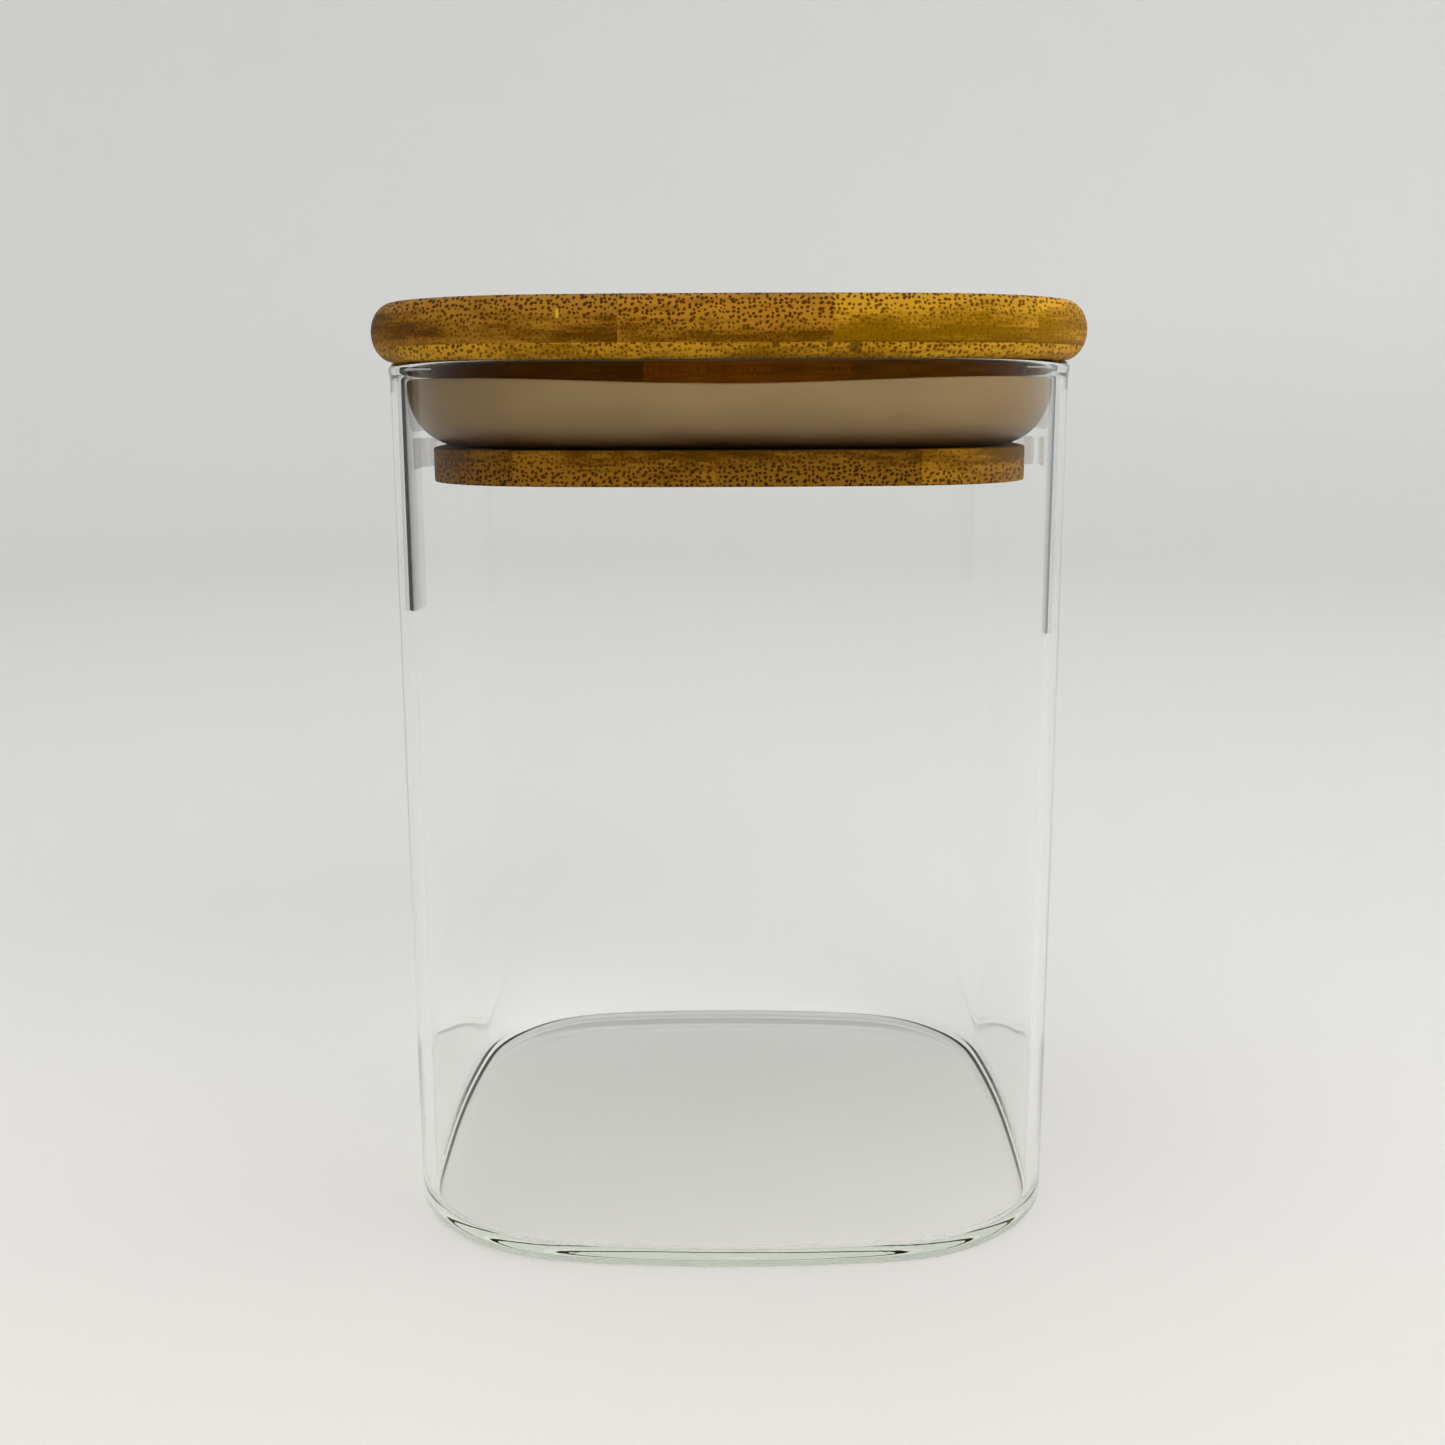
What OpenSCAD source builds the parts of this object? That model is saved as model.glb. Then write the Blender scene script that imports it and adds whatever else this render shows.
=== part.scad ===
// Square glass food canister with a laminated bamboo lid and a silicone lip seal.
// Origin: centre of the jar's base. +Z is up, -Y is the front, millimetres.
//
// Every outline is the jar's outer wall moved in or out: four shallow side arcs joined by four
// corner arcs. So each sub-part is made of blocks, and a block is one section carried round that
// outline and filled in the middle. In a section, x is the distance outside the jar's outer wall
// (negative is inside it) and y is the height.

/* [Jar] */
// Width of the glass across its flats
jar_width = 100; // [80:1:120]
// Height of the glass, from the table to the rim
jar_height = 127; // [90:1:220]
// Thickness of the side walls
wall = 2; // [1.8:0.1:2.2]
// Thickness of the base
base_thickness = 2; // [1.8:0.1:4]
// Rounding of the edge the jar stands on
base_rounding = 1.2; // [0.6:0.1:1.8]
// Fillet between the floor and the inside of the wall
floor_fillet = 1.6; // [1.5:0.1:4]
// Unit of the triangle that sets out the corner arcs: a larger one makes tighter corners
arc_unit = 0.65; // [0.55:0.01:0.75]
// Radius of the fire-polished bead that ends the wall
bead_radius = 1.1; // [1.1:0.05:1.3]
// How far the bead stands out
bead_flare = 0.2; // [0.2:0.05:0.6]

/* [Lid] */
// How far the lid's edge stands outside the wall
lid_overhang = 2.4; // [2:0.1:3.5]
// Thickness of the board that rests on the rim
board_thickness = 8.2; // [7.5:0.1:10]
// How far in the board's bullnose edge starts
bullnose = 3.2; // [2:0.1:3.2]
// Gap between the plug and the outside of the wall
plug_inset = 5.8; // [5:0.1:7]

/* [Lamination] */
// Thickness of one bamboo ply
ply = 6.2; // [6:0.1:6.6]
// Width of one bamboo strip
strip_width = 27.3; // [26:0.1:28]

/* [Seal] */
// Depth of the groove cut round the plug
groove_depth = 5.5; // [5:0.1:6]
// Height of the groove
groove_height = 8.6; // [8.2:0.1:9]
// Thickness of the plug's foot, below the groove
foot_thickness = 4.8; // [4.2:0.1:5.4]
// Radius of the lip's bowl-shaped outside
lip_radius = 8; // [7.5:0.1:8.2]
// Thickness of the lip
lip_thickness = 1.2; // [0.8:0.1:1.6]
// Gap between the lip and the glass
lip_clearance = 0.3; // [0.2:0.05:0.4]

/* [Hidden] */
$fn = 180;

// The outline's arcs. Their centres are shared by every outline, because all are offsets of one.
// A side arc meets a corner arc on the long edge of a 32-255-257 triangle, so that the centres
// and the joins are all at round figures.
half_width = jar_width / 2;
short_leg = 32 * arc_unit;
long_leg = 255 * arc_unit;
side_centre = short_leg - long_leg;
corner_centre = short_leg;
side_radius = half_width - side_centre;
corner_radius = side_radius - 257 * arc_unit;
middle_half = half_width - corner_radius + 0.5;

// The bead stands out on the outside of the wall.
bead_x = bead_flare - bead_radius;
bead_z = jar_height - bead_radius;
rim_rounding = 1;

// Lid heights and the groove's floor
lid_top = jar_height + board_thickness;
plug_bottom = lid_top - 4 * ply;
groove_bottom = plug_bottom + foot_thickness;
groove_top = groove_bottom + groove_height;
groove_floor = -plug_inset - groove_depth;

// Seal heights
band_thickness = 1.8;
band_top = groove_bottom + 6.4;
lip_edge = -wall - lip_clearance;
lip_top = groove_bottom + lip_radius + 1.2;

// The joints of each ply, from the top ply down, as x positions. The outer strips run on to the
// edge of the shape.
ply_joints = [
    [for (i = [-1.5 : 1 : 1.5]) -0.35 + i * strip_width],
    [for (i = [-1.5 : 1 : 1.5]) 2.55 + i * strip_width],
    [for (i = [-1 : 1]) 2.4 + i * strip_width],
    [for (i = [-1 : 1]) -1.6 + i * strip_width]
];
edge = half_width + lid_overhang + 1;

golden = [0.80, 0.60, 0.26];
amber = [0.73, 0.49, 0.18];
brown = [0.62, 0.41, 0.17];

// A block: a section carried round the outline, with the middle filled between two heights. Each
// arc is a whole turned solid, kept between the two edges of its own wedge.
module block(low, high) {
    union() {
        for (quarter = [0 : 3])
            rotate([0, 0, 90 * quarter]) {
                translate([side_centre, 0, 0])
                    intersection() {
                        rotate_extrude()
                            translate([side_radius, 0])
                                children();
                        wedge([[long_leg, -short_leg], [long_leg, short_leg]], 1.4, low, high);
                    }
                translate([corner_centre, corner_centre, 0])
                    intersection() {
                        rotate_extrude()
                            translate([corner_radius, 0])
                                children();
                        wedge([[long_leg, short_leg], [long_leg, long_leg], [short_leg, long_leg]], 0.4,
                            low, high);
                    }
            }
        translate([-middle_half, -middle_half, low])
            cube([2 * middle_half, 2 * middle_half, high - low]);
    }
}

// A prism from the origin out to the given corners, times a scale.
module wedge(corners, scale, low, high) {
    translate([0, 0, low - 1])
        linear_extrude(high - low + 2)
            polygon(concat([[0, 0]], scale * corners));
}

// Section of a plain block whose outer face is at x = reach.
module slab(reach, low, high) {
    translate([-corner_radius, low])
        square([corner_radius + reach, high - low]);
}

// The same, with its bottom outer edge rounded.
module bowl(reach, low, high, radius) {
    union() {
        slab(reach - radius, low, high);
        slab(reach, low + radius, high);
        translate([reach - radius, low + radius])
            circle(radius);
    }
}

// Outside of the glass, with the bead at its top.
module jar_outside() {
    union() {
        bowl(0, 0, bead_z, base_rounding);
        slab(bead_x, bead_z - 1, jar_height);
        translate([bead_x, bead_z])
            circle(bead_radius);
    }
}

// Inside of the glass, opening out over the rounded rim.
module jar_inside() {
    difference() {
        union() {
            bowl(-wall, base_thickness, jar_height + 1, floor_fillet);
            slab(rim_rounding - wall, jar_height - rim_rounding, jar_height + 1);
        }
        translate([rim_rounding - wall, jar_height - rim_rounding])
            circle(rim_rounding);
    }
}

module glass_jar() {
    color([0.86, 0.91, 0.89, 0.35])
        difference() {
            block(0, jar_height)
                jar_outside();
            block(base_thickness, jar_height + 1)
                jar_inside();
        }
}

// Section of the lid: the board with its bullnose edge, the neck, the groove and the foot.
module lid_section() {
    union() {
        slab(lid_overhang - bullnose, jar_height, lid_top);
        translate([lid_overhang - bullnose, jar_height + board_thickness / 2])
            scale([bullnose, board_thickness / 2])
                circle(1);
        slab(-plug_inset, groove_top, jar_height);
        slab(groove_floor, groove_bottom, groove_top);
        slab(-plug_inset, plug_bottom, groove_bottom);
    }
}

// One strip of the lid: plies count from the top, strips from the left.
module strip(ply_number, strip_number, shade) {
    high = lid_top - (ply_number - 1) * ply;
    low = high - ply;
    joints = concat([-edge], ply_joints[ply_number - 1], [edge]);
    left = joints[strip_number - 1];
    right = joints[strip_number];
    color(shade)
        intersection() {
            block(low, high)
                intersection() {
                    lid_section();
                    slab(lid_overhang + 1, low, high);
                }
            translate([left, -edge, low - 1])
                cube([right - left, 2 * edge, ply + 2]);
        }
}

// The seal: a bowl-shaped lip and a band that grips the floor of the groove, open between them.
module silicone_seal() {
    lip_floor = groove_bottom + lip_thickness;
    above = lip_top + 1;
    below = groove_bottom - 1;
    color([0.66, 0.58, 0.45])
        difference() {
            block(groove_bottom, lip_top)
                bowl(lip_edge, groove_bottom, lip_top, lip_radius);
            difference() {
                block(lip_floor, above)
                    bowl(lip_edge - lip_thickness, lip_floor, above, lip_radius - lip_thickness);
                block(below, band_top)
                    slab(groove_floor + band_thickness, below, band_top);
            }
            block(below, above)
                slab(groove_floor, below, above);
        }
}

module top_ply_strip_1() strip(1, 1, amber);
module top_ply_strip_2() strip(1, 2, brown);
module top_ply_strip_3() strip(1, 3, amber);
module top_ply_strip_4() strip(1, 4, golden);
module top_ply_strip_5() strip(1, 5, amber);
module neck_ply_strip_1() strip(2, 1, golden);
module neck_ply_strip_2() strip(2, 2, amber);
module neck_ply_strip_3() strip(2, 3, brown);
module neck_ply_strip_4() strip(2, 4, golden);
module neck_ply_strip_5() strip(2, 5, amber);
module core_ply_strip_1() strip(3, 1, amber);
module core_ply_strip_2() strip(3, 2, golden);
module core_ply_strip_3() strip(3, 3, amber);
module core_ply_strip_4() strip(3, 4, brown);
module foot_ply_strip_1() strip(4, 1, golden);
module foot_ply_strip_2() strip(4, 2, amber);
module foot_ply_strip_3() strip(4, 3, golden);
module foot_ply_strip_4() strip(4, 4, amber);

glass_jar();
silicone_seal();
top_ply_strip_1();
top_ply_strip_2();
top_ply_strip_3();
top_ply_strip_4();
top_ply_strip_5();
neck_ply_strip_1();
neck_ply_strip_2();
neck_ply_strip_3();
neck_ply_strip_4();
neck_ply_strip_5();
core_ply_strip_1();
core_ply_strip_2();
core_ply_strip_3();
core_ply_strip_4();
foot_ply_strip_1();
foot_ply_strip_2();
foot_ply_strip_3();
foot_ply_strip_4();
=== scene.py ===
"""Square glass food canister: blown glass jar, laminated bamboo lid and silicone lip seal.

Sizes are in millimetres in the dataclasses and become metres when a mesh is made. The origin is
the centre of the jar's base, +Z is up and -Y is the front.
"""

import logging
import math
from collections.abc import Callable, Sequence
from dataclasses import dataclass
from enum import Enum

import bmesh
import bpy
from mathutils import Matrix, Vector


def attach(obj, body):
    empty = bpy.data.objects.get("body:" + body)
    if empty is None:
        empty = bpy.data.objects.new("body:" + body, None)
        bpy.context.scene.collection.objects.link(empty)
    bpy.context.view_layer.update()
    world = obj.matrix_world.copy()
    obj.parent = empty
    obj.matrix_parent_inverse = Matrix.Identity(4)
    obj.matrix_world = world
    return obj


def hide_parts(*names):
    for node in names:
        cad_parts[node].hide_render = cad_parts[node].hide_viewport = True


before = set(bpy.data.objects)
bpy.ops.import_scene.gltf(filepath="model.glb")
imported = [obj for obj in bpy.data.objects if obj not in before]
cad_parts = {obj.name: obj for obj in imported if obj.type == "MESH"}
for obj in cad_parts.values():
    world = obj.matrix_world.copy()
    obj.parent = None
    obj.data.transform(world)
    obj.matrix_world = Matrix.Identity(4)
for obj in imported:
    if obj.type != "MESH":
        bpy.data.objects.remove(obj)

log = logging.getLogger("food_canister")

MM = 0.001
SMOOTH_LEVELS = 2

Colour = tuple[float, float, float]
Grain = tuple[float, float, float]
Point = tuple[float, float]


class Body(Enum):
    """The bodies that the pieces ride on."""

    JAR = "jar"
    LID = "lid"


class Shade(Enum):
    """The three shades that the bamboo is sorted into, each a material slot of the record."""

    GOLDEN = "bamboo_golden"
    AMBER = "bamboo_amber"
    BROWN = "bamboo_brown"


class Skin(Enum):
    """The face of a ply that was nearest the skin of the cane, where the fibres crowd."""

    UP = 1
    DOWN = -1


class Value:
    """A socket that gives a number, so that Python's operators add Math nodes."""

    def __init__(self, shader: "Shader", socket: bpy.types.NodeSocket) -> None:
        """Wraps a socket.

        Args:
            shader: The node tree that the socket belongs to.
            socket: The output socket that gives the number.
        """
        self.shader = shader
        self.socket = socket

    def _math(self, operation: str, *terms: "Value | float") -> "Value":
        """Adds a Math node and returns its result.

        Args:
            operation: The Math node's operation.
            terms: Its inputs, in order.
        """
        made = self.shader.node("ShaderNodeMath", {"operation": operation}, dict(enumerate(terms)))
        return Value(self.shader, made.outputs[0])

    def __add__(self, other: "Value | float") -> "Value":
        """self + other."""
        return self._math("ADD", self, other)

    def __radd__(self, other: float) -> "Value":
        """other + self."""
        return self._math("ADD", other, self)

    def __sub__(self, other: "Value | float") -> "Value":
        """self - other."""
        return self._math("SUBTRACT", self, other)

    def __rsub__(self, other: float) -> "Value":
        """other - self."""
        return self._math("SUBTRACT", other, self)

    def __mul__(self, other: "Value | float") -> "Value":
        """self * other."""
        return self._math("MULTIPLY", self, other)

    def __rmul__(self, other: float) -> "Value":
        """other * self."""
        return self._math("MULTIPLY", other, self)

    def __truediv__(self, other: "Value | float") -> "Value":
        """self / other."""
        return self._math("DIVIDE", self, other)

    def __abs__(self) -> "Value":
        """abs(self)."""
        return self._math("ABSOLUTE", self)

    def least(self, other: "Value | float") -> "Value":
        """The smaller of the two."""
        return self._math("MINIMUM", self, other)

    def most(self, other: "Value | float") -> "Value":
        """The larger of the two."""
        return self._math("MAXIMUM", self, other)

    def rise(self, low: float, high: float) -> "Value":
        """A smooth step from 0 at low to 1 at high.

        Args:
            low: Where the step starts.
            high: Where it ends. It may be below low, for a step down.
        """
        made = self.shader.node(
            "ShaderNodeMapRange",
            {"interpolation_type": "SMOOTHSTEP"},
            {"Value": self, "From Min": low, "From Max": high},
        )
        return Value(self.shader, made.outputs[0])


class Shader:
    """The node tree of one material, or of the sky."""

    def __init__(self, owner: bpy.types.Material | bpy.types.World) -> None:
        """Empties the owner's node tree.

        Args:
            owner: The new material or world.
        """
        self.material = owner
        self.material.use_nodes = True
        self.tree = self.material.node_tree
        self.tree.nodes.clear()

    def node(
        self,
        kind: str,
        settings: dict[str, object] | None = None,
        inputs: dict[str | int, object] | None = None,
    ) -> bpy.types.Node:
        """Adds a node.

        Args:
            kind: The node's type.
            settings: Its properties, which are set first.
            inputs: Values or links of its sockets, by name or number.

        Returns:
            The node.
        """
        made = self.tree.nodes.new(kind)
        for key, setting in (settings or {}).items():
            setattr(made, key, setting)
        for key, given in (inputs or {}).items():
            socket = made.inputs[key]
            if isinstance(given, Value):
                given = given.socket
            if isinstance(given, bpy.types.NodeSocket):
                self.tree.links.new(given, socket)
            elif socket.type == "RGBA" and len(given) == 3:
                socket.default_value = (*given, 1.0)
            else:
                socket.default_value = given
        return made

    def place(self) -> bpy.types.NodeSocket:
        """The point on the piece, in millimetres."""
        where = self.node("ShaderNodeTexCoord").outputs["Object"]
        return self.stretched(where, (1 / MM,) * 3)

    def axes(self, vector: bpy.types.NodeSocket) -> list[Value]:
        """The three parts of a vector.

        Args:
            vector: The vector's socket.
        """
        parts = self.node("ShaderNodeSeparateXYZ", None, {0: vector})
        return [Value(self, out) for out in parts.outputs]

    def stretched(self, vector: bpy.types.NodeSocket, scale: Sequence[float]) -> bpy.types.NodeSocket:
        """A vector times a scale for each axis.

        Args:
            vector: The vector's socket.
            scale: The three factors.
        """
        made = self.node(
            "ShaderNodeVectorMath", {"operation": "MULTIPLY"}, {0: vector, 1: tuple(scale)}
        )
        return made.outputs[0]

    def moved(self, vector: bpy.types.NodeSocket, step: object) -> bpy.types.NodeSocket:
        """A vector plus a step.

        Args:
            vector: The vector's socket.
            step: The step, as three numbers or a socket.
        """
        made = self.node("ShaderNodeVectorMath", {"operation": "ADD"}, {0: vector, 1: step})
        return made.outputs[0]

    def noise(self, vector: bpy.types.NodeSocket, detail: float = 2.0, rough: float = 0.5) -> Value:
        """Cloudy noise from about 0.3 to 0.7, one cell to a unit of the vector.

        Args:
            vector: Where to read it.
            detail: The number of octaves.
            rough: How strong the fine octaves are.
        """
        made = self.node(
            "ShaderNodeTexNoise",
            None,
            {"Vector": vector, "Scale": 1.0, "Detail": detail, "Roughness": rough},
        )
        return Value(self, made.outputs[0])

    def cells(self, vector: bpy.types.NodeSocket, scatter: float) -> tuple[Value, bpy.types.NodeSocket]:
        """Scattered cells, about one to a unit of the vector.

        Args:
            vector: Where to read them.
            scatter: 0 for a square grid, 1 for fully scattered.

        Returns:
            The distance to the nearest cell's centre, and that cell's own random colour.
        """
        made = self.node(
            "ShaderNodeTexVoronoi",
            {"voronoi_dimensions": "2D"},
            {"Vector": vector, "Scale": 1.0, "Randomness": scatter},
        )
        return Value(self, made.outputs["Distance"]), made.outputs["Color"]

    def mixed(self, share: Value | float, one: object, other: object) -> bpy.types.NodeSocket:
        """A colour between two colours.

        Args:
            share: 0 for the first, 1 for the second.
            one: The first colour, as three numbers or a socket.
            other: The second colour.
        """
        made = self.node("ShaderNodeMix", {"data_type": "RGBA"}, {0: share, 6: one, 7: other})
        return made.outputs[2]

    def bump(self, height: Value, depth: float, strength: float = 1.0) -> bpy.types.NodeSocket:
        """A normal that is bent by a height.

        Args:
            height: The height, as a share of the depth.
            depth: The depth in millimetres.
            strength: How much of it shows.
        """
        made = self.node(
            "ShaderNodeBump", None, {"Height": height, "Distance": depth * MM, "Strength": strength}
        )
        return made.outputs[0]

    def finish(
        self, shader: bpy.types.NodeSocket, volume: bpy.types.NodeSocket | None = None
    ) -> bpy.types.Material:
        """Links a shader to the output.

        Args:
            shader: The surface shader's socket.
            volume: The volume shader's socket, if there is one.

        Returns:
            The material.
        """
        ends = {"Surface": shader}
        if volume is not None:
            ends["Volume"] = volume
        self.node("ShaderNodeOutputMaterial", None, ends)
        return self.material


def scaled(colour: Colour, factor: float) -> Colour:
    """A colour times a factor."""
    return tuple(factor * part for part in colour)


@dataclass(frozen=True)
class Mark:
    """A small filled flaw in the lid's front edge: its place, its reach and its colour."""

    x: float
    z: float
    across: float
    up: float
    colour: Colour


@dataclass(frozen=True)
class Strip:
    """What is special to one strip of bamboo.

    Attributes:
        shade: The record's slot.
        joint: Where it meets the next strip, or None at the lid's edge.
        lift: How bright it is.
        gold: How far its colour goes from its own towards golden.
        crowding: How many fibres stand in it.
        dawn: How much its ground brightens by its underside.
        glue_above: How dark the glue line over it is.
        glue_below: How dark the glue line under it is.
        painted_rim_shade: How bright the painted shade below the rim is.
        tone: The colour that it starts from, if that is not its shade's.
    """

    shade: Shade
    joint: float | None
    lift: float
    gold: float = 0.0
    crowding: float = 0.5
    dawn: float = 0.0
    glue_above: float = 0.3
    glue_below: float = 0.3
    painted_rim_shade: float = 1.0
    tone: Shade | None = None

    def grounds(self) -> list[Colour]:
        """The strip's light ground, deep ground and fibre colours."""
        golden = (0.520, 0.268, 0.016), (0.210, 0.095, 0.001), (0.115, 0.042, 0.001)
        own = {
            Shade.GOLDEN: golden,
            Shade.AMBER: ((0.540, 0.238, 0.020), (0.165, 0.060, 0.001), (0.100, 0.030, 0.001)),
            Shade.BROWN: ((0.480, 0.218, 0.020), (0.135, 0.048, 0.001), (0.090, 0.027, 0.001)),
        }[self.tone or self.shade]
        return [
            tuple(self.lift * (one + (other - one) * self.gold) for one, other in zip(tone, gilt))
            for tone, gilt in zip(own, golden)
        ]


@dataclass(frozen=True)
class BambooFinish:
    """Steamed bamboo: a light to deep ground, dark fibre ends, thin glue lines and painted shade below
    the rim.

    The fibres run along Y, so that the front and back show them as dots, and the sides and the
    top as fine streaks. A grain is a noise's cells to the millimetre along X, Y and Z.
    """

    strip: Strip
    seed: int
    left: float
    right: float
    low: float
    high: float
    skin: Skin
    marks: tuple[Mark, ...] = ()
    # Painted shade below the rim: where it starts, how much of the ground it covers, and its darker,
    # redder colour.
    rim: float = 127.0
    rim_shade_cover: float = 0.85
    painted_rim_shade: Colour = (0.42, 0.105, 0.003)
    gloss: Colour = (1.0, 0.62, 0.08)
    specular: float = 0.10
    front: tuple[float, float] = (-44.0, -46.0)
    mark_cover: float = 0.75
    seed_step: Grain = (31.7, 57.3, 11.9)
    drift_grain: Grain = (0.11, 0.02, 0.11)
    drift_reach: float = 0.9
    warp_grain: Grain = (0.45, 0.02, 0.45)
    warp_reach: Point = (1.3, 0.9)
    pore_seed_step: Point = (17.3, 5.1)
    pore_spacing: float = 0.68
    pore_squash: float = 0.92
    pore_scatter: float = 0.72
    pore_size: float = 0.19
    pore_blur: float = 0.16
    break_grain: Grain = (1.2, 1 / 30, 1.2)
    smear_grain: Grain = (0.16, 0.018, 1.3)
    cloud_grain: Grain = (0.07, 0.012, 0.22)
    fine_grain: Grain = (3.4, 0.05, 3.4)
    glue_reach: float = 0.16
    joint_reach: float = 0.14
    joint_depth: float = 0.12
    dawn_reach: float = 1.5
    bump_depth: float = 0.04
    bump_strength: float = 0.35

    def material(self, name: str) -> bpy.types.Material:
        """Makes the material of one strip.

        Args:
            name: The material's name.

        Returns:
            The material.
        """
        light, deep, fibre = self.strip.grounds()
        shader = Shader(bpy.data.materials.new(name))
        place = shader.place()
        x, y, z = shader.axes(place)
        own = shader.moved(place, tuple(self.seed * part for part in self.seed_step))
        smear = shader.noise(shader.stretched(own, self.smear_grain), 3.0, 0.6).rise(0.30, 0.72)
        cloud = shader.noise(shader.stretched(own, self.cloud_grain), 2.0).rise(0.32, 0.68)
        fine = shader.noise(shader.stretched(own, self.fine_grain), 2.0, 0.6).rise(0.25, 0.75)
        crowd = self._crowd(shader, own, z)
        pore = self._pore(shader, own, x, z, crowd)

        sun = 0.12 + 0.62 * crowd + 0.5 * (smear - 0.5) + 0.45 * (cloud - 0.5) + 0.3 * (fine - 0.5)
        sun = sun + self.strip.dawn * z.rise(self.low + self.dawn_reach, self.low)
        ground = shader.mixed(sun.rise(0.0, 0.85), deep, light)
        # Below the rim, a darker, redder painted shade covers most of the ground, where the glass rim
        # and the board above shade the neck.
        if self.low < self.rim < self.high:
            darkest, lightest = (scaled(self.painted_rim_shade, share * self.strip.painted_rim_shade) for share in (0.5, 1.4))
            below = shader.mixed(smear * 0.6 + fine * 0.4, darkest, lightest)
            ground = shader.mixed(z.rise(self.rim + 0.1, self.rim - 0.3) * self.rim_shade_cover, ground, below)
        colour = shader.mixed(pore * (0.55 + 0.45 * crowd), ground, fibre)
        colour = shader.mixed(self._glue(x, z, smear), colour, scaled(fibre, 0.45))
        for mark in self.marks:
            level = abs(z - mark.z).rise(mark.up, mark.up * 0.5)
            near = abs(x - mark.x).rise(mark.across, mark.across * 0.5) * level
            colour = shader.mixed(near * y.rise(*self.front) * self.mark_cover, colour, mark.colour)

        shaded = shader.node(
            "ShaderNodeBsdfPrincipled",
            None,
            {
                "Base Color": colour,
                "Roughness": 0.58 + 0.10 * pore + 0.10 * (fine - 0.5),
                "Normal": shader.bump((fine - pore) * 0.35, self.bump_depth, self.bump_strength),
                "Specular IOR Level": self.specular,
                "Specular Tint": self.gloss,
            },
        )
        return shader.finish(shaded.outputs[0])

    def _crowd(self, shader: Shader, own: bpy.types.NodeSocket, z: Value) -> Value:
        """How thickly the fibres stand: 0 at the inside of the cane, 1 by its skin.

        Args:
            shader: The material's node tree.
            own: The strip's own place in the noise.
            z: The height.
        """
        drift = shader.noise(shader.stretched(own, self.drift_grain))
        depth = (z - self.low) / (self.high - self.low)
        if self.skin is Skin.DOWN:
            depth = 1 - depth
        return (depth + (drift - 0.5) * self.drift_reach + (self.strip.crowding - 0.5)).rise(0.08, 0.95)

    def _pore(
        self, shader: Shader, own: bpy.types.NodeSocket, x: Value, z: Value, crowd: Value
    ) -> Value:
        """The fibre ends: 1 in the middle of one, 0 between them.

        Args:
            shader: The material's node tree.
            own: The strip's own place in the noise.
            x: The distance across.
            z: The height.
            crowd: How thickly the fibres stand.
        """
        warp = shader.noise(shader.stretched(own, self.warp_grain), 1.0)
        across = (x + warp * self.warp_reach[0]) / self.pore_spacing
        up = (z + warp * self.warp_reach[1]) / (self.pore_spacing * self.pore_squash)
        flat = shader.node("ShaderNodeCombineXYZ", None, {0: across, 1: up}).outputs[0]
        seat = (*(self.seed * part for part in self.pore_seed_step), 0.0)
        reach, tint = shader.cells(shader.moved(flat, seat), self.pore_scatter)
        chance = shader.axes(tint)[0]
        breaks = shader.noise(shader.stretched(own, self.break_grain), 1.0)
        size = self.pore_size + 0.13 * crowd + 0.12 * (chance - 0.5) + 0.35 * (breaks - 0.5)
        return ((size - reach) / self.pore_blur).rise(-0.6, 0.6)

    def _glue(self, x: Value, z: Value, smear: Value) -> Value:
        """The glue lines round the strip: 0 off them, up to 0.9 on them.

        Args:
            x: The distance across.
            z: The height.
            smear: The noise that breaks the lines up.
        """
        above = self._line(z, self.high, self.glue_reach) * self.strip.glue_above
        below = self._line(z, self.low, self.glue_reach) * self.strip.glue_below
        left = self._line(x, self.left, self.joint_reach)
        sides = left.most(self._line(x, self.right, self.joint_reach)) * self.joint_depth
        return (above.most(below).most(sides) * (0.6 + 0.5 * smear)).least(0.9)

    @staticmethod
    def _line(along: Value, at: float, width: float) -> Value:
        """A thin line across an axis: 1 on the line, 0 a width away.

        Args:
            along: The axis.
            at: Where the line is.
            width: How far it reaches to each side.
        """
        return abs(along - at).rise(width, width * 0.25)


@dataclass(frozen=True)
class GlassFinish:
    """Clear borosilicate glass with a trace of green in its depth."""

    index: float = 1.47
    sheen: Colour = (0.02, 0.02, 0.02)
    tint: Colour = (0.84, 0.93, 0.72)
    depth_per_metre: float = 5.0
    shadow: Colour = (0.98, 0.985, 0.98)
    ripple_grain: Grain = (0.05, 0.05, 0.012)
    ripple_depth: float = 0.05
    ripple_strength: float = 0.5

    def material(self, name: str) -> bpy.types.Material:
        """Makes the glass.

        Args:
            name: The material's name.

        Returns:
            The material.
        """
        shader = Shader(bpy.data.materials.new(name))
        ripple = shader.noise(shader.stretched(shader.place(), self.ripple_grain), 1.0)
        glass = shader.node(
            "ShaderNodeBsdfPrincipled",
            None,
            {
                "Base Color": (1.0, 1.0, 1.0),
                "Roughness": 0.0,
                "IOR": self.index,
                "Specular Tint": self.sheen,
                "Transmission Weight": 1.0,
                "Normal": shader.bump(ripple, self.ripple_depth, self.ripple_strength),
            },
        )
        clear = shader.node("ShaderNodeBsdfTransparent", None, {"Color": self.shadow})
        path = shader.node("ShaderNodeLightPath")
        body = shader.node(
            "ShaderNodeMixShader",
            None,
            {0: path.outputs["Is Shadow Ray"], 1: glass.outputs[0], 2: clear.outputs[0]},
        )
        green = shader.node(
            "ShaderNodeVolumeAbsorption",
            None,
            {"Color": self.tint, "Density": self.depth_per_metre},
        )
        return shader.finish(body.outputs[0], green.outputs[0])


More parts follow.
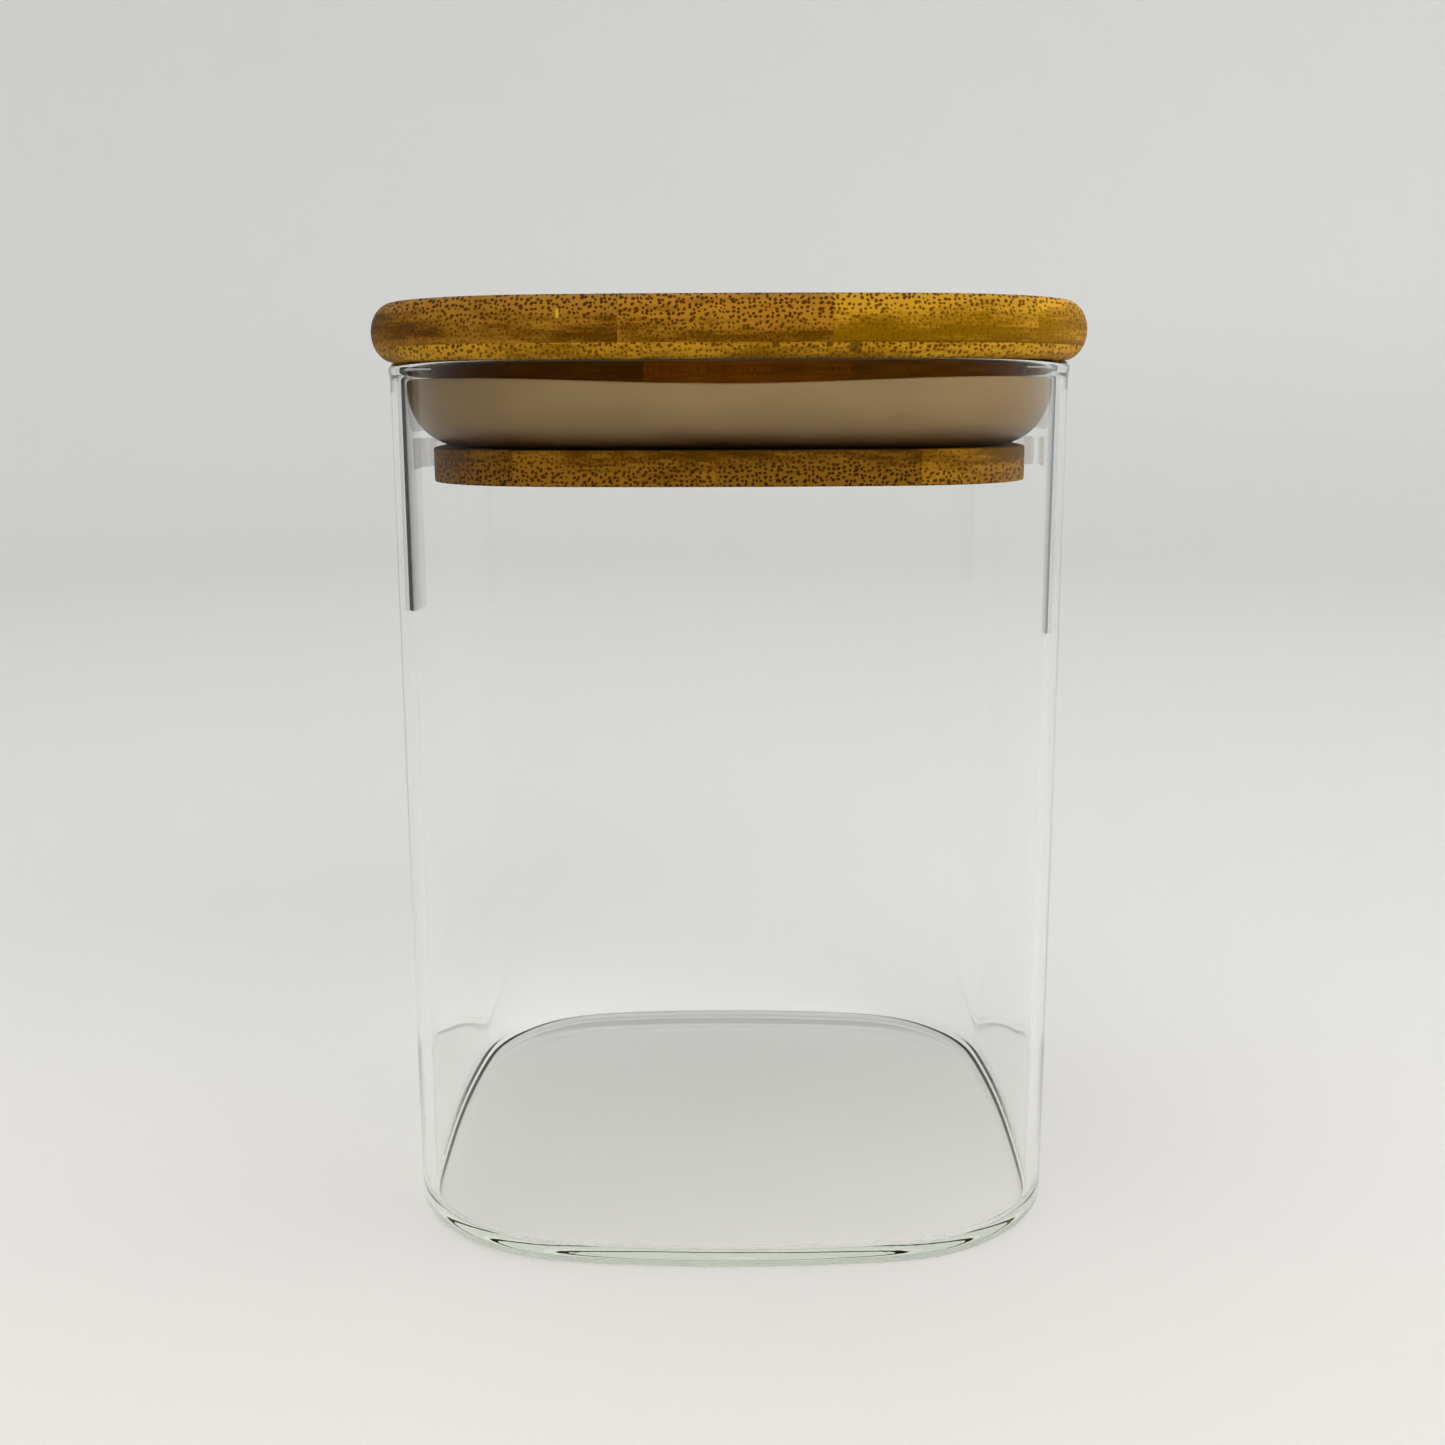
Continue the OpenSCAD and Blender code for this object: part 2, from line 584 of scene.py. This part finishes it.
@dataclass(frozen=True)
class SiliconeFinish:
    """Milky taupe silicone, darker and browner low down: partly the wood seen through it, partly painted
    shade in the gap over the foot.
    """

    low: float
    high: float
    milk: Colour = (0.275, 0.180, 0.082)
    wood_and_painted_shade: Colour = (0.060, 0.019, 0.001)
    cloud_grain: Grain = (0.06, 0.06, 0.10)
    bloom_grain: Grain = (0.5, 0.5, 0.9)
    cloud_depth: float = 0.88
    bloom_depth: float = 0.02
    bloom_strength: float = 0.08

    def material(self, name: str) -> bpy.types.Material:
        """Makes the silicone.

        Args:
            name: The material's name.

        Returns:
            The material.
        """
        shader = Shader(bpy.data.materials.new(name))
        place = shader.place()
        height = shader.axes(place)[2]
        cloud = shader.noise(shader.stretched(place, self.cloud_grain), 2.0)
        bloom = shader.noise(shader.stretched(place, self.bloom_grain), 3.0)
        # Towards the bottom the milk gives way to dark brown: partly wood seen through the silicone,
        # partly painted shade.
        climb = ((height - self.low) / (self.high - self.low) + (cloud - 0.5) * 0.25).rise(0.02, 0.42)
        milk = shader.mixed(cloud.rise(0.3, 0.7), self.milk, scaled(self.milk, self.cloud_depth))
        silicone = shader.node(
            "ShaderNodeBsdfPrincipled",
            None,
            {
                "Base Color": shader.mixed(climb, self.wood_and_painted_shade, milk),
                "Roughness": 0.36 + 0.12 * bloom,
                "Specular IOR Level": 0.2,
                "Normal": shader.bump(bloom, self.bloom_depth, self.bloom_strength),
            },
        )
        return shader.finish(silicone.outputs[0])


@dataclass(frozen=True)
class StageFinish:
    """Matt white card with painted light: warmest and brightest on the floor in front, and a little
    brighter up the wall on the right.
    """

    front: Colour = (0.880, 0.852, 0.820)
    back: Colour = (0.790, 0.793, 0.785)
    wall_left: Colour = (0.785, 0.790, 0.778)
    wall_right: Colour = (0.870, 0.873, 0.862)
    floor_fade: float = 160.0
    wall_fade: float = 1100.0
    cove_fade: Point = (10.0, 250.0)

    def material(self, name: str) -> bpy.types.Material:
        """Makes the card.

        Args:
            name: The material's name.

        Returns:
            The material.
        """
        shader = Shader(bpy.data.materials.new(name))
        x, y, z = shader.axes(shader.place())
        # These colours are painted light: a pool of front light on the floor, and more light up the wall
        # on the right.
        ground = shader.mixed(y.rise(-self.floor_fade, self.floor_fade), self.front, self.back)
        wall = shader.mixed(x.rise(-self.wall_fade, self.wall_fade), self.wall_left, self.wall_right)
        painted_light = shader.mixed(z.rise(*self.cove_fade), ground, wall)
        card = shader.node("ShaderNodeBsdfDiffuse", None, {"Color": painted_light})
        return shader.finish(card.outputs[0])


@dataclass(frozen=True)
class Outline:
    """The jar's plan, moved in or out: four shallow side arcs joined by four corner arcs.

    A side arc meets a corner arc on the long edge of a 32-255-257 triangle.
    """

    half_width: float = 50.0
    arc_unit: float = 0.65
    side_steps: int = 6
    corner_steps: int = 8

    def points(self, offset: float) -> list[Vector]:
        """The cage points of one outline, anticlockwise.

        Each point is moved out by what a subdivision surface then pulls it in.

        Args:
            offset: The distance outside the jar's outer wall.

        Returns:
            The points, in millimetres.
        """
        short, long = 32 * self.arc_unit, 255 * self.arc_unit
        side_radius = self.half_width + long - short + offset
        corner_radius = side_radius - 257 * self.arc_unit
        turn = math.atan2(short, long)
        side_step = 2 * turn / self.side_steps
        corner_step = (math.pi / 2 - 2 * turn) / self.corner_steps
        side_swell = side_radius * (1 - math.cos(side_step)) / 3
        corner_swell = corner_radius * (1 - math.cos(corner_step)) / 3
        made = []
        for quarter in range(4):
            turned = Matrix.Rotation(quarter * math.pi / 2, 2)
            for step in range(self.side_steps):
                swell = side_swell if step else (side_swell + corner_swell) / 2
                ray = Vector(polar(side_radius + swell, step * side_step - turn))
                made.append(turned @ (ray + Vector((short - long, 0.0))))
            for step in range(self.corner_steps):
                swell = corner_swell if step else (side_swell + corner_swell) / 2
                ray = Vector(polar(corner_radius + swell, step * corner_step + turn))
                made.append(turned @ (ray + Vector((short, short))))
        return made


def polar(radius: float, angle: float) -> Point:
    """The point at a radius and an angle in radians."""
    return radius * math.cos(angle), radius * math.sin(angle)


class Section:
    """A section drawn point by point: distance outside the jar's outer wall, and height."""

    def __init__(self, *points: Point) -> None:
        """Starts a section.

        Args:
            points: Its first points.
        """
        self.points = list(points)

    def to(self, *points: Point) -> "Section":
        """Goes on through plain points.

        Args:
            points: The points.
        """
        self.points.extend(points)
        return self

    def corner(self, at: Point, towards: Point, hold: float) -> "Section":
        """Goes on round a crisp corner.

        Args:
            at: The corner.
            towards: Where the section goes from there.
            hold: How far from the corner its rounding starts.
        """
        corner, before, after = Vector(at), Vector(self.points[-1]), Vector(towards)
        for end in (before, after):
            near = corner + (end - corner).normalized() * hold
            self.points.append((near.x, near.y))
            if end is before:
                self.points.append(at)
        return self

    def arc(
        self, centre: Point, radius: float, start: float, end: float, steps: int, tall: float = 1.0
    ) -> "Section":
        """Goes on along an arc.

        Args:
            centre: The arc's centre.
            radius: Its radius.
            start: The angle that it starts at, in degrees.
            end: The angle that it ends at.
            steps: How many steps it is drawn in.
            tall: How much taller than wide the arc is.
        """
        swell = 1 + (1 - math.cos(math.radians(end - start) / steps)) / 3
        for step in range(steps + 1):
            angle = math.radians(start + (end - start) * step / steps)
            grown = radius * (swell if 0 < step < steps else 1.0)
            across, up = polar(grown, angle)
            self.points.append((centre[0] + across, centre[1] + up * tall))
        return self


def carried(
    section: Section,
    outline: Outline,
    closed: bool,
    lift: Callable[[Vector, Point], float] | None = None,
) -> bmesh.types.BMesh:
    """Carries a section round an outline.

    Args:
        section: The section.
        outline: The outline.
        closed: True if the section is a loop. Otherwise both of its ends are capped.
        lift: How far a point is lifted, from its place in plan and in the section.

    Returns:
        The mesh, in metres.
    """
    mesh = bmesh.new()
    rings = []
    for offset, height in section.points:
        ring = []
        for flat in outline.points(offset):
            rise = lift(flat, (offset, height)) if lift else 0.0
            ring.append(mesh.verts.new(Vector((flat.x, flat.y, height + rise)) * MM))
        rings.append(ring)
    pairs = list(zip(rings, rings[1:]))
    if closed:
        pairs.append((rings[-1], rings[0]))
    else:
        mesh.faces.new(rings[0])
        mesh.faces.new(rings[-1])
    for lower, upper in pairs:
        for i, here in enumerate(lower):
            after = (i + 1) % len(lower)
            mesh.faces.new((here, lower[after], upper[after], upper[i]))
    bmesh.ops.recalc_face_normals(mesh, faces=mesh.faces)
    return mesh


def piece_from(name: str, mesh: bmesh.types.BMesh) -> bpy.types.Object:
    """Makes an object at the origin from a mesh, shaded smooth.

    Args:
        name: The object's name.
        mesh: The mesh, which is freed.

    Returns:
        The object.
    """
    data = bpy.data.meshes.new(name)
    mesh.to_mesh(data)
    mesh.free()
    data.shade_smooth()
    made = bpy.data.objects.new(name, data)
    bpy.context.scene.collection.objects.link(made)
    return made


def smoothed(piece: bpy.types.Object, levels: int = SMOOTH_LEVELS) -> None:
    """Finishes a cage with a live subdivision surface.

    Args:
        piece: The cage.
        levels: How many times it is divided.
    """
    surface = piece.modifiers.new("smooth", "SUBSURF")
    surface.levels = levels
    surface.render_levels = levels


def settle(
    piece: bpy.types.Object, body: Body, node: str, finish: bpy.types.Material
) -> None:
    """Puts a piece on its body, in its node's place, with its finish.

    Args:
        piece: The piece.
        body: The body that it rides on.
        node: The CAD node that it stands for.
        finish: Its material.
    """
    piece.data.materials.append(finish)
    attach(piece, body.value)
    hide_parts(node)
    log.info("%s: rides on %s, stands for %s", piece.name, body.value, node)


@dataclass
class GlassJar:
    """The blown glass jar."""

    outline: Outline
    height: float = 127.0
    wall: float = 2.0
    floor: float = 2.0
    base_rounding: float = 1.2
    floor_fillet: float = 1.6
    push_up: float = 0.35
    foot: float = 0.01
    bead_radius: float = 1.1
    bead_flare: float = 0.2
    innermost: float = -26.0

    def section(self) -> Section:
        """The wall, from the middle of the base outside to the middle of the floor inside."""
        inside = -self.wall
        fillet = inside - self.floor_fillet
        bead = (self.bead_flare - self.bead_radius, self.height - self.bead_radius)
        drawn = Section((self.innermost, self.push_up), (-16.0, self.push_up))
        drawn.to((-9.0, self.push_up * 0.6), (-5.0, 0.05), (-3.6, self.foot), (-2.2, self.foot))
        drawn.arc((-self.base_rounding, self.base_rounding + self.foot), self.base_rounding, -90, 0, 4)
        drawn.to((0.0, 2.4), (0.0, 6.0), (0.0, 20.0), (0.0, 50.0), (0.0, 80.0), (0.0, 105.0))
        drawn.to((0.0, 118.0), (0.0, 122.6), (0.0, 124.2), (0.02, 125.0))
        drawn.arc(bead, self.bead_radius, -12, 90, 5)
        drawn.arc((-1.0, self.height - 1.0), 1.0, 90, 180, 4)
        drawn.to((inside, 124.8), (inside, 122.0), (inside, 112.0), (inside, 90.0), (inside, 60.0))
        drawn.to((inside, 30.0), (inside, 12.0), (inside, 7.0), (inside, 4.8))
        drawn.arc((fillet, self.floor + self.floor_fillet), self.floor_fillet, 0, -90, 5)
        drawn.to((-4.6, self.floor), (-8.0, self.floor), (-16.0, self.floor))
        drawn.to((self.innermost, self.floor))
        return drawn

    def build(self) -> bpy.types.Object:
        """Makes the jar.

        Returns:
            The piece.
        """
        piece = piece_from("blown_glass_jar", carried(self.section(), self.outline, False))
        smoothed(piece)
        settle(piece, Body.JAR, "glass_jar", GlassFinish().material("clear_glass"))
        return piece


@dataclass
class LipSeal:
    """The moulded silicone seal: a lip like the side of a bowl, and a band in the groove."""

    outline: Outline
    low: float = 115.2
    top: float = 124.4
    lip_edge: float = -2.3
    lip_radius: float = 8.0
    lip_thickness: float = 1.2
    groove_floor: float = -11.3
    band: float = 1.8
    band_top: float = 121.6
    wave: float = 0.5

    def section(self) -> Section:
        """The loop: down the outside of the lip, up and over the band, and up the lip's inside."""
        centre = (self.lip_edge - self.lip_radius, self.low + self.lip_radius)
        inner = self.lip_radius - self.lip_thickness
        tip = self.lip_edge - self.lip_thickness / 2
        band_face = self.groove_floor + self.band
        drawn = Section((tip + 0.1, self.top), (self.lip_edge - 0.12, self.top - 0.12))
        drawn.to((self.lip_edge, self.top - 0.45))
        drawn.arc(centre, self.lip_radius, 0, -90, 7)
        drawn.to((self.groove_floor + 0.3, self.low), (self.groove_floor, self.low))
        drawn.to((self.groove_floor, self.low + 0.3), (self.groove_floor, self.band_top - 0.3))
        drawn.to((self.groove_floor, self.band_top), (self.groove_floor + 0.3, self.band_top))
        drawn.to((band_face - 0.3, self.band_top), (band_face, self.band_top - 0.2))
        drawn.to((band_face, self.low + 2.6), (band_face + 0.1, self.low + self.lip_thickness + 0.3))
        drawn.arc(centre, inner, -76, 0, 6)
        drawn.to((tip - 0.45, self.top - 0.45), (tip - 0.25, self.top - 0.08))
        return drawn

    def lift(self, flat: Vector, at: Point) -> float:
        """How far the lip waves up or down: low at the middle of a side, high by the corners.

        Args:
            flat: The place in plan.
            at: The place in the section.
        """
        climb = max(0.0, (at[1] - self.low - 2.0) / (self.top - self.low - 2.0))
        if at[0] < self.groove_floor + self.band + 0.4:
            climb = 0.0
        return -self.wave * climb**2 * math.cos(4 * math.atan2(flat.y, flat.x))

    def build(self) -> bpy.types.Object:
        """Makes the seal.

        Returns:
            The piece.
        """
        piece = piece_from("moulded_lip_seal", carried(self.section(), self.outline, True, self.lift))
        smoothed(piece)
        finish = SiliconeFinish(self.low, self.top).material("seal_silicone")
        settle(piece, Body.LID, "silicone_seal", finish)
        return piece


@dataclass(frozen=True)
class Ply:
    """One layer of the lid, with its strips from the left."""

    name: str
    high: float
    skin: Skin
    strips: tuple[Strip, ...]
    marks: tuple[Mark, ...] = ()
    thickness: float = 6.2

    @property
    def low(self) -> float:
        """The height of the underside."""
        return self.high - self.thickness


@dataclass
class BambooLid:
    """The lid: a blank that is laid up from four plies and turned, then sawn into its strips."""

    outline: Outline
    plies: tuple[Ply, ...]
    rim: float = 127.0
    top: float = 135.2
    overhang: float = 2.4
    bullnose: float = 3.2
    plug_inset: float = 5.8
    plug_low: float = 110.4
    groove_low: float = 115.2
    groove_high: float = 123.8
    groove_floor: float = -11.3
    edge_rounding: float = 0.4
    innermost: float = -26.0
    arris: float = 0.04
    nose_squash: float = 0.998

    def section(self) -> Section:
        """The blank, from the middle of the plug's underside to the middle of the top."""
        plug, hold = -self.plug_inset, self.edge_rounding
        nose = (self.overhang - self.bullnose, (self.rim + self.top) / 2)
        drawn = Section((self.innermost, self.plug_low), (-14.0, self.plug_low), (-8.0, self.plug_low))
        drawn.corner((plug, self.plug_low), (plug, self.groove_low), hold)
        drawn.corner((plug, self.groove_low), (self.groove_floor, self.groove_low), hold)
        drawn.corner((self.groove_floor, self.groove_low), (self.groove_floor, self.groove_high), hold)
        drawn.corner((self.groove_floor, self.groove_high), (plug, self.groove_high), hold)
        drawn.corner((plug, self.groove_high), (plug, self.rim), hold)
        drawn.corner((plug, self.rim), (nose[0], self.rim), hold)
        drawn.to((nose[0] - 1.2, self.rim))
        tall = (self.top - self.rim) / 2 / self.bullnose * self.nose_squash
        drawn.arc(nose, self.bullnose, -90, 90, 14, tall)
        drawn.to((nose[0] - 1.2, self.top), (-8.0, self.top), (self.innermost, self.top))
        return drawn

    def blank(self) -> bmesh.types.BMesh:
        """The smooth blank.

        Returns:
            The mesh, after its cage has been divided.
        """
        cage = piece_from("lid_blank", carried(self.section(), self.outline, False))
        smoothed(cage)
        bpy.context.view_layer.update()
        drawn = cage.evaluated_get(bpy.context.evaluated_depsgraph_get())
        mesh = bmesh.new()
        mesh.from_mesh(drawn.to_mesh())
        drawn.to_mesh_clear()
        data = cage.data
        bpy.data.objects.remove(cage)
        bpy.data.meshes.remove(data)
        return mesh

    def sawn(
        self, blank: bmesh.types.BMesh, cuts: Sequence[tuple[int, float, int]]
    ) -> bmesh.types.BMesh:
        """A copy of the blank, sawn by planes, with each cut face closed.

        Args:
            blank: The blank.
            cuts: Each cut's axis, its place, and the side that is kept: 1 above, -1 below.

        Returns:
            The mesh that is left.
        """
        mesh = blank.copy()
        for axis, at, keep in cuts:
            place, normal = Vector((0, 0, 0)), Vector((0, 0, 0))
            place[axis], normal[axis] = at * MM, -keep
            everything = [*mesh.verts, *mesh.edges, *mesh.faces]
            made = bmesh.ops.bisect_plane(
                mesh, geom=everything, dist=1e-7, plane_co=place, plane_no=normal, clear_outer=True
            )
            rim = [part for part in made["geom_cut"] if isinstance(part, bmesh.types.BMEdge)]
            bmesh.ops.holes_fill(mesh, edges=rim, sides=0)
        bmesh.ops.remove_doubles(mesh, verts=mesh.verts, dist=0.01 * MM)
        bmesh.ops.recalc_face_normals(mesh, faces=mesh.faces)
        return mesh

    def strip(self, blank: bmesh.types.BMesh, ply: Ply, number: int) -> bpy.types.Object:
        """Saws one strip, breaks its edges and gives it its finish.

        Args:
            blank: The blank.
            ply: The ply that the strip is in.
            number: The strip's number, from 1 at the left.

        Returns:
            The piece.
        """
        reach = self.outline.half_width + self.overhang + 1
        sides = (-reach, *(strip.joint for strip in ply.strips[:-1]), reach)
        left, right = sides[number - 1], sides[number]
        cuts = [(0, left, 1)] * (left > -reach) + [(0, right, -1)] * (right < reach)
        cuts += [(2, ply.low, 1)] * (ply.low > self.plug_low)
        cuts += [(2, ply.high, -1)] * (ply.high < self.top)
        node = f"{ply.name}_ply_strip_{number}"
        piece = piece_from(f"bamboo_{node}", self.sawn(blank, cuts))
        piece.data.set_sharp_from_angle(angle=math.radians(40))
        arris = piece.modifiers.new("arris", "BEVEL")
        arris.width = self.arris * MM
        arris.segments = 2
        arris.limit_method = "ANGLE"
        arris.angle_limit = math.radians(50)
        arris.use_clamp_overlap = False
        arris.harden_normals = True
        strip = ply.strips[number - 1]
        finish = BambooFinish(
            strip=strip,
            seed=number + round(ply.high),
            left=left,
            right=right,
            low=ply.low,
            high=ply.high,
            skin=ply.skin,
            marks=tuple(mark for mark in ply.marks if left - 1 < mark.x < right + 1),
        )
        settle(piece, Body.LID, node, finish.material(node))
        return piece

    def build(self) -> list[bpy.types.Object]:
        """Makes every strip.

        Returns:
            The pieces.
        """
        blank = self.blank()
        made = [
            self.strip(blank, ply, number)
            for ply in self.plies
            for number in range(1, len(ply.strips) + 1)
        ]
        blank.free()
        return made


@dataclass(frozen=True)
class SoftLight:
    """A soft lamp: where it stands, what it faces, its size and its power."""

    name: str
    place: tuple[float, float, float]
    aim: tuple[float, float, float]
    size: tuple[float, float]
    power: float
    colour: Colour = (1.0, 1.0, 1.0)

    def build(self) -> bpy.types.Object:
        """Makes the lamp.

        Returns:
            The lamp's object.
        """
        data = bpy.data.lights.new(self.name, "AREA")
        data.shape = "RECTANGLE"
        data.size, data.size_y = self.size
        data.energy = self.power
        data.color = self.colour
        made = bpy.data.objects.new(self.name, data)
        made.location = self.place
        made.rotation_euler = (Vector(self.aim) - Vector(self.place)).to_track_quat("-Z", "Y").to_euler()
        made.visible_camera = False
        made.visible_glossy = False
        bpy.context.scene.collection.objects.link(made)
        return made


@dataclass(frozen=True)
class Card:
    """An upright card, out of the camera's sight, that shows only at the edges of the glass.

    A ray that goes straight through the glass has been bent an even number of times. One that
    glances off it, or is turned inside it, has been bent an odd number of times and sees the card.
    """

    name: str
    start: Point
    end: Point
    low: float
    high: float
    colour: Colour

    def build(self) -> bpy.types.Object:
        """Makes the card.

        Returns:
            The card's object.
        """
        data = bpy.data.meshes.new(self.name)
        foot = [(*self.start, self.low), (*self.end, self.low)]
        head = [(*self.end, self.high), (*self.start, self.high)]
        data.from_pydata(foot + head, [], [(0, 1, 2, 3)])
        made = bpy.data.objects.new(self.name, data)
        bpy.context.scene.collection.objects.link(made)
        shader = Shader(bpy.data.materials.new(self.name))
        lit = shader.node("ShaderNodeEmission", None, {"Color": self.colour})
        clear = shader.node("ShaderNodeBsdfTransparent")
        bends = Value(shader, shader.node("ShaderNodeLightPath").outputs["Ray Depth"])
        odd = abs(abs(abs(bends - 4) - 2) - 1).rise(0.6, 0.4)
        ends = {0: odd, 1: clear.outputs[0], 2: lit.outputs[0]}
        either = shader.node("ShaderNodeMixShader", None, ends)
        data.materials.append(shader.finish(either.outputs[0]))
        made.visible_camera = False
        made.visible_diffuse = False
        made.visible_shadow = False
        return made


@dataclass
class Studio:
    """The pale floor and wall, the soft light and the camera."""

    floor_radius: float = 1.0
    cove: float = 0.55
    wall_top: float = 2.2
    sky: Colour = (1.0, 1.0, 1.0)
    sky_strength: float = 0.86
    bounces: int = 40
    cove_steps: int = 8
    turn_steps: int = 96
    lights: tuple[SoftLight, ...] = ()
    cards: tuple[Card, ...] = ()
    lens: float = 41.3564
    sensor: float = 36.0
    eye: tuple[float, float, float] = (0.805, -266.88, 122.73)
    yaw: float = 0.0077
    pitch: float = 0.19624
    roll: float = -0.0038

    def stage(self) -> bpy.types.Object:
        """Makes the floor that curves up into a wall all round.

        Returns:
            The stage's object.
        """
        mesh = bmesh.new()
        profile = [(self.floor_radius + self.cove, self.wall_top)]
        for step in range(self.cove_steps + 1):
            across, up = polar(self.cove, -math.pi / 2 * step / self.cove_steps)
            profile.append((self.floor_radius + across, self.cove + up))
        profile.append((0.0, 0.0))
        verts = [mesh.verts.new((across, 0.0, up)) for across, up in profile]
        for one, other in zip(verts, verts[1:]):
            mesh.edges.new((one, other))
        made = piece_from("stage_sweep", mesh)
        spin = made.modifiers.new("turn", "SCREW")
        spin.steps = self.turn_steps
        spin.render_steps = self.turn_steps
        spin.use_merge_vertices = True
        spin.merge_threshold = 0.0001
        spin.use_smooth_shade = True
        made.data.materials.append(StageFinish().material("stage_card"))
        return made

    def camera(self) -> None:
        """Makes the camera."""
        data = bpy.data.cameras.new("camera")
        data.sensor_width = self.sensor
        data.lens = self.lens
        data.clip_start = 0.01
        data.clip_end = 20.0
        made = bpy.data.objects.new("camera", data)
        turn = (
            Matrix.Rotation(self.yaw, 4, "Z")
            @ Matrix.Rotation(math.pi / 2 - self.pitch, 4, "X")
            @ Matrix.Rotation(self.roll, 4, "Z")
        )
        made.matrix_world = Matrix.Translation(Vector(self.eye) * MM) @ turn
        bpy.context.scene.collection.objects.link(made)
        bpy.context.scene.camera = made

    def light(self) -> None:
        """Makes the sky, the lamps and the cards."""
        world = bpy.data.worlds.new("studio_sky")
        bpy.context.scene.world = world
        sky = Shader(world)
        glow = sky.node("ShaderNodeBackground", None, {"Color": self.sky, "Strength": self.sky_strength})
        sky.node("ShaderNodeOutputWorld", None, {"Surface": glow.outputs[0]})
        for made in (*self.lights, *self.cards):
            made.build()
            log.info("%s: in the studio", made.name)
        scene = bpy.context.scene
        scene.view_settings.view_transform = "Standard"
        scene.cycles.max_bounces = self.bounces
        scene.cycles.transmission_bounces = self.bounces
        scene.cycles.glossy_bounces = self.bounces
        scene.cycles.transparent_max_bounces = self.bounces

    def build(self) -> None:
        """Makes the whole studio."""
        self.camera()
        self.stage()
        self.light()


GOLDEN, AMBER, BROWN = Shade.GOLDEN, Shade.AMBER, Shade.BROWN
PLIES = (
    Ply("top", 135.2, Skin.UP, marks=(Mark(-21.6, 132.6, 0.24, 0.75, (0.66, 0.42, 0.03)),), strips=(
        Strip(AMBER, -41.3, 0.62, crowding=0.55, dawn=0.45, glue_above=0, glue_below=0),
        Strip(BROWN, -14.0, 0.64, crowding=0.60, dawn=0.45, glue_above=0, glue_below=0),
        Strip(AMBER, 13.3, 0.66, 0.1, crowding=0.80, dawn=0.30, glue_above=0, glue_below=0.05),
        Strip(GOLDEN, 40.6, 0.93, 0.4, crowding=0.55, dawn=0.1, glue_above=0, glue_below=0.6),
        Strip(AMBER, None, 1.22, 1.0, crowding=0.50, glue_above=0, glue_below=0.6),
    )),
    # In the neck ply, each strip's painted shade below the rim is set separately, darkest at the left.
    Ply("neck", 129.0, Skin.UP, marks=(Mark(16.2, 128.4, 1.0, 0.9, (0.070, 0.030, 0.002)),), strips=(
        # These lifts are high: partly the strips' own tone, partly painted light on the bottom of the
        # rounded edge, which faces down.
        Strip(GOLDEN, -38.4, 1.0, 0.3, crowding=0.3, glue_above=0, painted_rim_shade=0.20),
        Strip(AMBER, -11.1, 1.0, 0.8, crowding=0.32, glue_above=0, painted_rim_shade=0.24),
        Strip(BROWN, 16.2, 0.95, 0.8, crowding=0.3, glue_above=0.08, painted_rim_shade=0.66),
        Strip(GOLDEN, 43.5, 1.08, 0.3, crowding=0.3, glue_above=0.6, painted_rim_shade=0.46),
        Strip(AMBER, None, 1.12, 0.8, crowding=0.3, glue_above=0.6, painted_rim_shade=0.38),
    )),
    Ply("core", 122.8, Skin.UP, strips=(
        Strip(AMBER, -24.9, 0.6),
        Strip(GOLDEN, 2.4, 0.6),
        Strip(AMBER, 29.7, 0.6),
        Strip(BROWN, None, 0.6),
    )),
    Ply("foot", 116.6, Skin.DOWN, strips=(
        Strip(GOLDEN, -28.9, 0.37, crowding=0.60, dawn=0.1, glue_below=0, tone=AMBER),
        Strip(AMBER, -1.6, 0.43, crowding=0.62, dawn=0.1, glue_below=0),
        Strip(GOLDEN, 25.7, 0.35, crowding=0.62, dawn=0.1, glue_below=0, tone=AMBER),
        Strip(AMBER, None, 0.56, 0.4, crowding=0.5, dawn=0.1, glue_below=0),
    )),
)
CARDS = (
    Card("dark_card", (-0.44, 0.14), (-0.32, 0.28), 0.040, 0.24, (0.002, 0.002, 0.002)),
    Card("grey_card", (0.38, 0.22), (0.33, 0.27), 0.030, 0.20, (0.20, 0.21, 0.21)),
)
LIGHTS = (
    SoftLight("top_light", (0.0, -0.2, 1.3), (0.0, 0.0, 0.05), (1.2, 1.0), 2.0),
    SoftLight("front_light", (0.55, -0.85, 0.75), (0.0, 0.0, 0.03), (1.2, 0.8), 6.6),
)


def main() -> None:
    """Builds the canister and its studio."""
    logging.basicConfig(level=logging.INFO, format="%(name)s: %(message)s")
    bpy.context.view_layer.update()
    outline = Outline()
    Studio(lights=LIGHTS, cards=CARDS).build()
    GlassJar(outline).build()
    LipSeal(outline).build()
    BambooLid(outline, PLIES).build()


if __name__ == "__main__":
    main()
